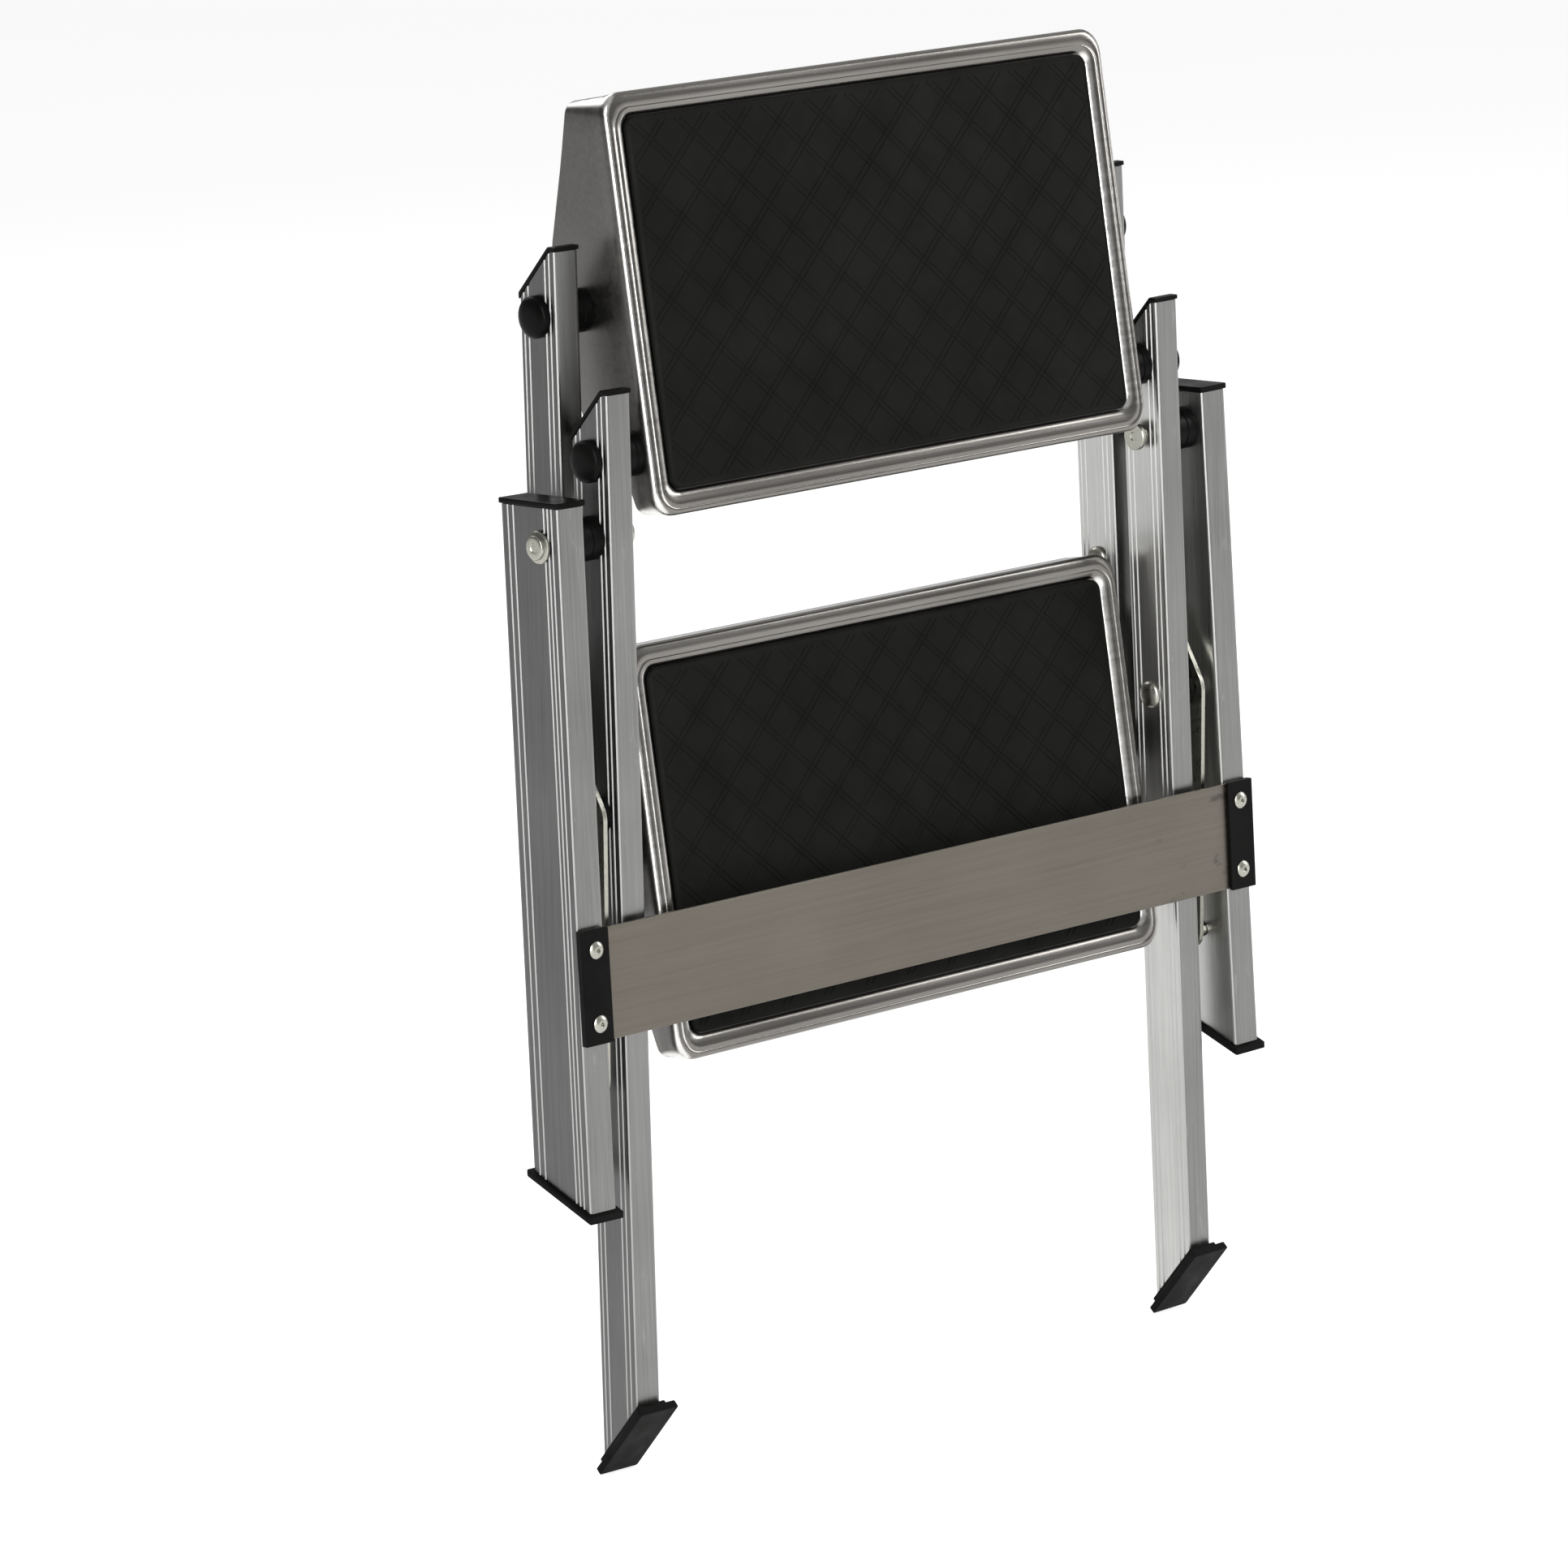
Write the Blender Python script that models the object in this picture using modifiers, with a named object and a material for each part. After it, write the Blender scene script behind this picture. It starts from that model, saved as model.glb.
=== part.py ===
"""Folding two-tread step in aluminium, folded flat and standing on its feet.

+X is across the step, -Y is its front, +Z runs up along the legs. Lengths are in metres.
Each side has an inner leg, a rear rail behind it and a deeper outer leg outside them.
Two treads and a pair of flat links join leg and rail as equal parallel couplers.
"""
import math

import bmesh
import bpy
from mathutils import Matrix, Vector

# ---------------------------------------------------------------- driving dimensions
GAP = 0.0003                    # clearance between touching pieces
FRONT_Y = -0.03574              # front plane of the inner legs
SPLAY = math.radians(0.805)     # each side leans outwards towards the ground
INNER_HALF = 0.2252             # inner face of an inner leg, at ground level
OUTER_HALF = 0.2631             # inner face of an outer leg, at ground level

RAIL_W = 0.0186                 # inner leg and rear rail profile
RAIL_D = 0.0331
RAIL_WALL = 0.0016
OUTER_W = 0.0205                # outer leg profile
OUTER_D = 0.0519
OUTER_WALL = 0.0018
RAIL_SPACING = 0.0438           # rear rail behind inner leg, centre to centre
RIDGE = 0.0006                  # depth of the grooves along the side faces

LEG_TOP = 0.6623
LEG_CUT_FRONT = 0.0472          # where the sole's cut meets the front face
SOLE_ANGLE = math.radians(48.07)
RAIL_TOP = 0.7435
RAIL_BOTTOM = 0.3380
TOP_FLAT = 0.0042               # flat run of a chamfered top, before its slope
TOP_SLOPE = math.radians(46.0)
OUTER_TOP = 0.5998
OUTER_BOTTOM = 0.1766
OUTER_CUT = math.radians(20.7)
OUTER_LEAN = math.radians(1.43)

PIVOT_RISE = 0.0819             # from a leg pivot up to its rail pivot
LEG_PIVOT_Z = {"upper": 0.6225, "lower": 0.2911}
OUTER_PIVOT_Z = 0.5770
LINK_PIVOT_Z = 0.4103
PIN_R = 0.0040
OUTER_PIN_R = 0.0050
KNOB_R = 0.0128
KNOB_T = 0.0068
BUSH_R = 0.0132
LINK_BUSH_R = 0.0115

TREAD_HALF = 0.2030
TREAD_LEN = 0.2520
TREAD_TILT = math.radians(8.0)
TREAD_LOW = {"upper": 0.5855, "lower": 0.2541}
TREAD_Y = -0.0050               # lower edge of a tread, from the front plane
SHEET = 0.0020
RIM = 0.0140
MAT_RECESS = 0.0030
MAT_T = 0.0024
SKIRT = [(0.002, 0.020), (0.022, 0.026), (0.062, 0.060), (0.105, 0.070), (0.139, 0.072),
         (0.165, 0.0685), (0.247, 0.0375)]

LINK_X = 0.2474
LINK_T = 0.0030
LINK_ARM = 0.1600               # from the leg pivot down to the drive pin
DRIVE_R = 0.0040
TREAD_OPEN = math.radians(130.1)
OUTER_OPEN = math.radians(67.4)

BAR_TOP = 0.3483
BAR_H = 0.0683
BAR_T = 0.0020
BRACKET_W = 0.0215
BRACKET_T = 0.0024
RIVET_R = 0.0053

LEG_Y = FRONT_Y + RAIL_D / 2
RAIL_Y = LEG_Y + RAIL_SPACING
SIDES = {"left": -1, "right": 1}

ALUMINIUM = ((0.60, 0.59, 0.57, 1.0), 0.38, 1.0)
POLISHED = ((0.72, 0.71, 0.69, 1.0), 0.16, 1.0)
BRUSHED = ((0.42, 0.40, 0.36, 1.0), 0.40, 1.0)
ZINC = ((0.55, 0.54, 0.48, 1.0), 0.35, 1.0)
BLACK = ((0.015, 0.015, 0.015, 1.0), 0.45, 0.0)
RUBBER = ((0.022, 0.022, 0.020, 1.0), 0.75, 0.0)


# ---------------------------------------------------------------- scene and materials
def clear_scene():
    for item in list(bpy.data.objects):
        bpy.data.objects.remove(item, do_unlink=True)


def new_collection(name):
    group = bpy.data.collections.new(name)
    bpy.context.scene.collection.children.link(group)
    return group


def material(name, look):
    colour, roughness, metallic = look
    mat = bpy.data.materials.new(name)
    mat.use_nodes = True
    shader = mat.node_tree.nodes["Principled BSDF"]
    shader.inputs["Base Color"].default_value = colour
    shader.inputs["Roughness"].default_value = roughness
    shader.inputs["Metallic"].default_value = metallic
    return mat


clear_scene()
PARTS = new_collection("tailgate_step")
CUTTERS = new_collection("cutters")


def finish(obj, look):
    """Put a finished piece in the parts collection with a material of its own."""
    for group in list(obj.users_collection):
        group.objects.unlink(obj)
    PARTS.objects.link(obj)
    obj.data.materials.clear()
    obj.data.materials.append(material(obj.name + "_finish", look))
    obj.data.shade_smooth()
    obj.data.set_sharp_from_angle(angle=math.radians(35))
    return obj


def as_cutter(obj):
    for group in list(obj.users_collection):
        group.objects.unlink(obj)
    CUTTERS.objects.link(obj)
    obj.hide_render = True
    obj.display_type = "WIRE"
    return obj


def baked(obj):
    """Apply an object's modifiers and its placement, so its mesh is in world metres."""
    graph = bpy.context.evaluated_depsgraph_get()
    mesh = bpy.data.meshes.new_from_object(obj.evaluated_get(graph))
    mesh.transform(obj.matrix_world)
    work = bmesh.new()
    work.from_mesh(mesh)
    bmesh.ops.remove_doubles(work, verts=work.verts, dist=1e-6)
    bmesh.ops.recalc_face_normals(work, faces=work.faces)
    if work.calc_volume(signed=True) < 0:
        bmesh.ops.reverse_faces(work, faces=work.faces)
    work.to_mesh(mesh)
    work.free()
    name = obj.name
    bpy.data.objects.remove(obj, do_unlink=True)
    result = bpy.data.objects.new(name, mesh)
    PARTS.objects.link(result)
    return result


def combine(obj, others, operation):
    """Cut or join other objects, which are used up, and return the baked piece."""
    for other in others:
        as_cutter(other)
        change = obj.modifiers.new(operation.lower(), "BOOLEAN")
        change.operation = operation
        change.solver = "EXACT"
        change.object = other
    bpy.context.view_layer.update()
    result = baked(obj)
    for other in others:
        bpy.data.objects.remove(other, do_unlink=True)
    return result


# ---------------------------------------------------------------- building blocks
def outline(name, loops, thickness, frame):
    """Extrude flat loops, the first one outside, about the plane of frame's X and Y axes."""
    curve = bpy.data.curves.new(name, "CURVE")
    curve.dimensions = "2D"
    curve.fill_mode = "BOTH"
    curve.extrude = thickness / 2
    for loop in loops:
        spline = curve.splines.new("POLY")
        spline.points.add(len(loop) - 1)
        for point, place in zip(spline.points, loop):
            point.co = (place[0], place[1], 0.0, 1.0)
        spline.use_cyclic_u = True
    obj = bpy.data.objects.new(name, curve)
    PARTS.objects.link(obj)
    obj.matrix_world = frame
    bpy.context.view_layer.update()
    return baked(obj)


def side_frame(x, y=0.0, z=0.0):
    """Plane whose first axis is +Y, second is +Z and normal is +X."""
    return Matrix(((0, 0, 1, x), (1, 0, 0, y), (0, 1, 0, z), (0, 0, 0, 1)))


def rod(name, radius, x_low, x_high, y, z, sides=20):
    """Round bar along X."""
    low, high = min(x_low, x_high), max(x_low, x_high)
    bpy.ops.mesh.primitive_cylinder_add(vertices=sides, radius=radius, depth=high - low)
    obj = bpy.context.object
    obj.name = name
    obj.matrix_world = (Matrix.Translation(((low + high) / 2, y, z))
                        @ Matrix.Rotation(math.pi / 2, 4, "Y"))
    bpy.context.view_layer.update()
    return baked(obj)


def block(name, low, high):
    """Box between two corners."""
    bpy.ops.mesh.primitive_cube_add(size=1.0)
    obj = bpy.context.object
    obj.name = name
    low, high = Vector(low), Vector(high)
    obj.matrix_world = Matrix.Translation((low + high) / 2) @ Matrix.Diagonal((*(high - low), 1))
    bpy.context.view_layer.update()
    return baked(obj)


def turned(name, profile, side, y, z, sides=20):
    """Turn a profile of (radius, outward x) points about an X axis at y, z."""
    mesh = bpy.data.meshes.new(name)
    points = [(r, 0.0, x) for r, x in profile]
    mesh.from_pydata(points, [(i, i + 1) for i in range(len(points) - 1)], [])
    obj = bpy.data.objects.new(name, mesh)
    PARTS.objects.link(obj)
    screw = obj.modifiers.new("turn", "SCREW")
    screw.steps = screw.render_steps = sides
    screw.use_merge_vertices = True
    screw.merge_threshold = 1e-5
    turn = Matrix.Rotation(math.pi / 2 * side, 4, "Y")
    obj.matrix_world = Matrix.Translation((0, y, z)) @ turn
    bpy.context.view_layer.update()
    return baked(obj)


def arc(centre, radius, start, end, steps):
    """Points on a circle arc, angles in degrees."""
    turns = [math.radians(start + (end - start) * i / steps) for i in range(steps + 1)]
    return [(centre[0] + radius * math.cos(t), centre[1] + radius * math.sin(t)) for t in turns]


def rounded(points, radius, steps=3):
    """Round every corner of a convex counter-clockwise outline."""
    result = []
    for i, corner in enumerate(points):
        before, after = Vector(points[i - 1]), Vector(points[(i + 1) % len(points)])
        corner = Vector(corner)
        to_before, to_after = (before - corner).normalized(), (after - corner).normalized()
        half = to_before.angle(to_after) / 2
        run = min(radius / math.tan(half), (before - corner).length * 0.45,
                  (after - corner).length * 0.45)
        a, b = corner + to_before * run, corner + to_after * run
        for k in range(steps + 1):
            t = k / steps
            result.append(tuple((1 - t) ** 2 * a + 2 * t * (1 - t) * corner + t * t * b))
    return result


def rectangle(x0, y0, x1, y1):
    return [(x0, y0), (x1, y0), (x1, y1), (x0, y1)]


def inner_face(z):
    return INNER_HALF - math.tan(SPLAY) * z


def outer_face(z):
    return OUTER_HALF - math.tan(SPLAY) * z


# ---------------------------------------------------------------- tubes
def tube_profile(width, depth, grooves, plain_inside):
    """Rectangular tube section, x outwards and y front to back, with grooves along its sides."""
    corner = 0.0022
    outer = rounded(rectangle(0, 0, width, depth), corner)
    right = [p for p in outer if p[0] > width / 2]
    left = [p for p in outer if p[0] < width / 2]
    front_right = [p for p in right if p[1] < depth / 2]
    back_right = [p for p in right if p[1] > depth / 2]
    front_left = [p for p in left if p[1] < depth / 2]
    back_left = [p for p in left if p[1] > depth / 2]
    cuts = []
    for place in grooves:
        cuts += [(width, place - 0.0010), (width - RIDGE, place - 0.0004),
                 (width - RIDGE, place + 0.0004), (width, place + 0.0010)]
    mirrored = [] if plain_inside else [(width - x, y) for x, y in reversed(cuts)]
    return front_right + cuts + back_right + back_left + mirrored + front_left


def tube(name, side, face, width, depth, wall, grooves, low, high, front, plain_inside=False):
    """Hollow leg along its splayed line. face(z) gives the inner face's distance from centre."""
    length = high - low
    outer = tube_profile(width, depth, grooves, plain_inside)
    hollow = rectangle(wall, wall, width - wall, depth - wall)
    if side < 0:
        outer = [(-x, y) for x, y in reversed(outer)]
        hollow = [(-x, y) for x, y in reversed(hollow)]
    middle = (low + high) / 2
    frame = (Matrix.Translation((side * face(middle), front, middle))
             @ Matrix.Rotation(-side * SPLAY, 4, "Y"))
    return outline(name, [outer, hollow], length, frame)


def side_prism(name, side, face, z, points, width, inset=0.0):
    """Prism with a side-view outline of (y, z) points, across a leg's width, leaning with it."""
    lean = (Matrix.Translation((side * face(z), 0, z))
            @ Matrix.Rotation(-side * SPLAY, 4, "Y") @ Matrix.Translation((0, 0, -z)))
    shift = side * width / 2
    return outline(name, [points], width - 2 * inset, lean @ side_frame(shift))


def chamfer_line(top, front, depth, offset=0.0, over=0.0):
    """Side view of a chamfered top: flat at the front, sloping down to the back."""
    knee = front + TOP_FLAT
    back = front + depth + over
    drop = math.tan(TOP_SLOPE) * (back - knee)
    rise = offset / math.cos(TOP_SLOPE)
    knee_shift = (rise - offset) / math.tan(TOP_SLOPE)
    return [(front - over, top + offset), (knee + knee_shift, top + offset),
            (back, top - drop + rise)]


def chamfered_tube(name, side, low, top, front, grooves):
    piece = tube(name, side, inner_face, RAIL_W, RAIL_D, RAIL_WALL, grooves, low, top, front)
    line = chamfer_line(top, front, RAIL_D, 0.0, 0.004)
    above = line[1:] + [(line[-1][0], top + 0.01), (line[1][0], top + 0.01)]
    wedge = side_prism("wedge", side, inner_face, top, above, RAIL_W + 0.01)
    wedge.location.x -= side * 0.005
    return combine(piece, [wedge], "DIFFERENCE")


def chamfer_cap(name, side, top, front):
    """Thin cap over a chamfered tube end, with a plug inside the tube."""
    face_over = 0.0006
    lower = chamfer_line(top, front, RAIL_D, GAP, face_over)
    upper = chamfer_line(top, front, RAIL_D, 0.0030, face_over)
    plate = side_prism("plate", side, inner_face, top, lower + upper[::-1],
                       RAIL_W + 2 * face_over)
    plate.location.x -= side * face_over
    wall = RAIL_WALL + GAP
    inner_front, inner_back = front + wall, front + RAIL_D - wall
    knee = (front + TOP_FLAT, top + 0.0005)
    back_top = top - math.tan(TOP_SLOPE) * (inner_back - knee[0]) + 0.0005
    low = top - 0.0330
    plug = side_prism(name, side, inner_face, top,
                      [(inner_front, low), (inner_back, low), (inner_back, back_top), knee,
                       (inner_front, top + 0.0005)], RAIL_W, wall)
    bpy.context.view_layer.update()
    return finish(combine(plug, [baked_in_place(plate)], "UNION"), BLACK)


def baked_in_place(obj):
    bpy.context.view_layer.update()
    return baked(obj)


RAIL_GROOVES = [0.0045, 0.0085, 0.0246, 0.0286]
OUTER_GROOVES = [0.0050, 0.0085, 0.0120, 0.0400, 0.0450]


def pin_hole(radius, side, y, z):
    return rod("hole", radius + GAP, side * 0.15, side * 0.32, y, z, 16)


def leg_holes(side):
    holes = [pin_hole(PIN_R, side, LEG_Y, z) for z in LEG_PIVOT_Z.values()]
    holes.append(pin_hole(PIN_R, side, LEG_Y, LINK_PIVOT_Z))
    holes.append(pin_hole(OUTER_PIN_R, side, LEG_Y, OUTER_PIVOT_Z))
    return holes


def sole_line(offset):
    """Height of a plane parallel to the sole's cut, at the front plane."""
    return LEG_CUT_FRONT - offset / math.cos(SOLE_ANGLE)


def sole_band(near, far, over):
    """Side view of a slab between two planes parallel to the cut."""
    along = Vector((math.cos(SOLE_ANGLE), -math.sin(SOLE_ANGLE)))
    down = Vector((-math.sin(SOLE_ANGLE), -math.cos(SOLE_ANGLE)))
    start = Vector((FRONT_Y, LEG_CUT_FRONT))
    reach = RAIL_D / math.cos(SOLE_ANGLE)
    a, b = start - along * over, start + along * (reach + over)
    return [tuple(a + down * far), tuple(b + down * far), tuple(b + down * near),
            tuple(a + down * near)]


def build_inner_leg(label, side):
    low = -0.03
    leg = chamfered_tube("inner_leg_" + label, side, low, LEG_TOP, FRONT_Y, RAIL_GROOVES)
    cut = side_prism("cut", side, inner_face, 0.02, sole_band(0.0, 0.09, 0.05), 0.06)
    cut.location.x -= side * 0.02
    leg = combine(leg, [baked_in_place(cut)] + leg_holes(side), "DIFFERENCE")
    finish(leg, ALUMINIUM)
    chamfer_cap("inner_cap_" + label, side, LEG_TOP, FRONT_Y)

    wall = RAIL_WALL + GAP
    along = math.tan(SOLE_ANGLE)
    y0, y1 = FRONT_Y + wall, FRONT_Y + RAIL_D - wall
    plug_low = [LEG_CUT_FRONT - (y - FRONT_Y) * along - 0.002 for y in (y0, y1)]
    plug = side_prism("inner_foot_" + label, side, inner_face, 0.02,
                      [(y0, plug_low[0]), (y1, plug_low[1]), (y1, 0.075), (y0, 0.075)],
                      RAIL_W, wall)
    slabs = []
    for near, far, over in ((GAP, 0.0045, 0.0022), (0.0040, 0.0090, 0.0058)):
        slab = side_prism("slab", side, inner_face, 0.02, sole_band(near, far, over),
                          RAIL_W + 2 * over)
        slab.location.x -= side * over
        slabs.append(baked_in_place(slab))
    finish(combine(plug, slabs, "UNION"), RUBBER)


def build_rear_rail(label, side):
    front = RAIL_Y - RAIL_D / 2
    rail = chamfered_tube("rear_rail_" + label, side, RAIL_BOTTOM, RAIL_TOP, front, RAIL_GROOVES)
    heights = [z + PIVOT_RISE for z in (*LEG_PIVOT_Z.values(), LINK_PIVOT_Z)]
    rail = combine(rail, [pin_hole(PIN_R, side, RAIL_Y, z) for z in heights], "DIFFERENCE")
    finish(rail, ALUMINIUM)
    chamfer_cap("rear_cap_" + label, side, RAIL_TOP, front)
    wall = RAIL_WALL + GAP
    back = front + RAIL_D
    stem = side_prism("rear_plug_" + label, side, inner_face, RAIL_BOTTOM,
                      rectangle(front + wall, RAIL_BOTTOM - 0.002, back - wall,
                                RAIL_BOTTOM + 0.018), RAIL_W, wall)
    over = 0.0006
    lid = side_prism("lid", side, inner_face, RAIL_BOTTOM,
                     rectangle(front - over, RAIL_BOTTOM - 0.003, back + over,
                               RAIL_BOTTOM - GAP), RAIL_W + 2 * over)
    lid.location.x -= side * over
    finish(combine(stem, [baked_in_place(lid)], "UNION"), BLACK)


# ---------------------------------------------------------------- outer legs
def outer_lean():
    """The outer legs lean about their pivot, foot forwards, when the step is folded."""
    pivot = Matrix.Translation((0, LEG_Y, OUTER_PIVOT_Z))
    return pivot @ Matrix.Rotation(-OUTER_LEAN, 4, "X") @ pivot.inverted()


def drive_point(turn):
    """Drive pin's place on the outer leg at rest, once the link has turned this far."""
    swing = turn * OUTER_OPEN / TREAD_OPEN
    pin_y = LEG_Y - LINK_ARM * math.sin(turn)
    pin_z = LINK_PIVOT_Z - LINK_ARM * math.cos(turn)
    dy, dz = pin_y - LEG_Y, pin_z - OUTER_PIVOT_Z
    return (LEG_Y + dy * math.cos(swing) - dz * math.sin(swing),
            OUTER_PIVOT_Z + dy * math.sin(swing) + dz * math.cos(swing))


def drive_slot(side):
    """Curved slot in the outer leg's inner wall that the drive pin runs along."""
    steps = 14
    path = [Vector(drive_point(TREAD_OPEN * i / steps)) for i in range(steps + 1)]
    half = DRIVE_R + 0.0006
    left, right = [], []
    for i, point in enumerate(path):
        run = (path[min(i + 1, steps)] - path[max(i - 1, 0)]).normalized()
        normal = Vector((-run.y, run.x)) * half
        left.append(tuple(point + normal))
        right.append(tuple(point - normal))
    first = (path[1] - path[0]).normalized()
    last = (path[-1] - path[-2]).normalized()

    def end_cap(centre, outward):
        start = math.degrees(math.atan2(outward.y, outward.x))
        return arc(centre, half, start - 75, start + 75, 6)

    loop = left[::-1] + end_cap(path[0], -first) + right + end_cap(path[-1], last)
    x = side * (outer_face(OUTER_PIVOT_Z) + outer_face(OUTER_BOTTOM)) / 2
    return outline("slot", [loop], 0.0120, side_frame(x))


def rivet_places():
    x = outer_face(BAR_TOP - BAR_H / 2) + OUTER_W / 2
    return [(x, BAR_TOP - 0.0118), (x, BAR_TOP - BAR_H + 0.0118)]


def front_rod(name, radius, x, z, y_low, y_high, sides=12):
    """Round bar along Y on the leaning front of the outer legs."""
    bpy.ops.mesh.primitive_cylinder_add(vertices=sides, radius=radius, depth=y_high - y_low)
    obj = bpy.context.object
    obj.name = name
    obj.matrix_world = (outer_lean() @ Matrix.Translation((x, (y_low + y_high) / 2, z))
                        @ Matrix.Rotation(math.pi / 2, 4, "X"))
    bpy.context.view_layer.update()
    return baked(obj)


def leaning(obj):
    obj.data.transform(outer_lean())
    return obj


def build_outer_leg(label, side):
    leg = tube("outer_leg_" + label, side, outer_face, OUTER_W, OUTER_D, OUTER_WALL,
               OUTER_GROOVES, OUTER_BOTTOM - 0.02, OUTER_TOP, FRONT_Y, True)
    rise = math.tan(OUTER_CUT)
    y0, y1 = FRONT_Y - 0.01, FRONT_Y + OUTER_D + 0.01

    def cut_z(y, offset=0.0):
        return OUTER_BOTTOM + (y - FRONT_Y) * rise - offset / math.cos(OUTER_CUT)

    cut = side_prism("cut", side, outer_face, OUTER_BOTTOM,
                     [(y0, cut_z(y0) - 0.05), (y1, cut_z(y1) - 0.05), (y1, cut_z(y1)),
                      (y0, cut_z(y0))], 0.06)
    cut.location.x -= side * 0.02
    leg = leaning(combine(leg, [baked_in_place(cut)], "DIFFERENCE"))
    holes = [pin_hole(OUTER_PIN_R, side, LEG_Y, OUTER_PIVOT_Z), drive_slot(side)]
    holes += [front_rod("hole", 0.0024 + GAP, side * x, z, FRONT_Y - 0.01, FRONT_Y + 0.01)
              for x, z in rivet_places()]
    finish(combine(leg, holes, "DIFFERENCE"), ALUMINIUM)

    wall = OUTER_WALL + GAP
    over = 0.0010
    back = FRONT_Y + OUTER_D
    stem = side_prism("outer_top_cap_" + label, side, outer_face, OUTER_TOP,
                      rectangle(FRONT_Y + wall, OUTER_TOP - 0.014, back - wall,
                                OUTER_TOP + 0.001), OUTER_W, wall)
    lid = side_prism("lid", side, outer_face, OUTER_TOP,
                     rectangle(FRONT_Y - over, OUTER_TOP + GAP, back + over,
                               OUTER_TOP + 0.0038), OUTER_W + 2 * over)
    lid.location.x -= side * over
    finish(leaning(combine(stem, [baked_in_place(lid)], "UNION")), BLACK)

    over = 0.0030
    a, b = FRONT_Y + wall, back - wall
    top_z = cut_z(back) + 0.012
    stem = side_prism("outer_foot_" + label, side, outer_face, OUTER_BOTTOM,
                      [(a, cut_z(a, 0.001)), (b, cut_z(b, 0.001)), (b, top_z), (a, top_z)],
                      OUTER_W, wall)
    c, d = FRONT_Y - over, back + over
    pad = side_prism("pad", side, outer_face, OUTER_BOTTOM,
                     [(c, cut_z(c, 0.0042)), (d, cut_z(d, 0.0042)), (d, cut_z(d, GAP)),
                      (c, cut_z(c, GAP))], OUTER_W + 2 * over)
    pad.location.x -= side * over
    finish(leaning(combine(stem, [baked_in_place(pad)], "UNION")), RUBBER)


def build_crossbar():
    low, high = BAR_TOP - BAR_H, BAR_TOP
    middle = (low + high) / 2
    reach = outer_face(middle) + OUTER_W - 0.0035
    y1 = FRONT_Y - GAP
    y0 = y1 - BAR_T
    bar = leaning(block("crossbar", (-reach, y0, low), (reach, y1, high)))
    holes = [front_rod("hole", 0.0024 + GAP, side * x, z, y0 - 0.01, y1 + 0.01)
             for side in SIDES.values() for x, z in rivet_places()]
    finish(combine(bar, holes, "DIFFERENCE"), BRUSHED)

    for label, side in SIDES.items():
        outer = outer_face(low) + OUTER_W + 0.0005
        edge = (outer - BRACKET_W) * side
        front = y0 - GAP
        face = block("bar_bracket_" + label,
                     (min(edge, side * outer), front - BRACKET_T, low - 0.0008),
                     (max(edge, side * outer), front, high + 0.0008))
        heel_in = reach + GAP
        heel = block("heel", (min(side * heel_in, side * outer), front - 0.0005, low - 0.0008),
                     (max(side * heel_in, side * outer), y1, high + 0.0008))
        bracket = leaning(combine(face, [heel], "UNION"))
        holes = [front_rod("hole", 0.0024 + GAP, side * x, z, front - 0.01, front + 0.004)
                 for x, z in rivet_places()]
        finish(combine(bracket, holes, "DIFFERENCE"), BLACK)
        for name, (x, z) in zip(("upper", "lower"), rivet_places()):
            build_rivet(f"bar_rivet_{name}_{label}", side * x, z, front - BRACKET_T - GAP)


def build_rivet(name, x, z, seat):
    """Domed blind rivet: head in front of the bracket, shank through to the leg's wall."""
    dome = [(RIVET_R * math.cos(math.radians(a)), 0.0019 * math.sin(math.radians(a)))
            for a in (0, 22, 45, 68)]
    inner_end = FRONT_Y + OUTER_WALL + 0.0008
    profile = [(0.0, 0.0019), *dome[::-1], (0.0024, 0.0), (0.0024, seat - inner_end),
               (0.0, seat - inner_end)]
    obj = turned(name, profile, 1, 0.0, 0.0, 16)
    turn = Matrix.Rotation(-math.pi / 2, 4, "Z")
    obj.data.transform(outer_lean() @ Matrix.Translation((x, seat, z)) @ turn)
    finish(obj, ZINC)


# ---------------------------------------------------------------- pins, bushes and links
def shell_x(face, z, width=0.0, reach=BUSH_R):
    """Distance of a leg face from the centre, clear of its lean across a round seat."""
    lean = math.tan(SPLAY) * reach
    return face(z) + width + lean + GAP


def build_tread_pin(name, side, y, z):
    """Pin with a domed black knob outside, through leg, spacer and tread skirt."""
    seat = shell_x(inner_face, z, RAIL_W, KNOB_R)
    tip = TREAD_HALF - 0.0020 - SHEET - 0.0052
    head_in = TREAD_HALF - 0.0020 - SHEET - GAP
    dome = [(KNOB_R, seat + 0.0042), (KNOB_R - 0.0008, seat + 0.0056),
            (KNOB_R - 0.0035, seat + KNOB_T - 0.0003), (0.0, seat + KNOB_T)]
    profile = [*dome[::-1], (KNOB_R, seat), (PIN_R, seat), (PIN_R, head_in),
               (0.0070, head_in), (0.0070, tip), (0.0, tip)]
    finish(turned(name, profile, side, y, z), BLACK)


def build_bush(name, side, y, z, radius, bore, x_in, x_out):
    ring = rod(name, radius, side * x_in, side * x_out, y, z)
    hole = rod("hole", bore + GAP, side * (x_in - 0.01), side * (x_out + 0.01), y, z)
    finish(combine(ring, [hole], "DIFFERENCE"), BLACK)


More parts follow.
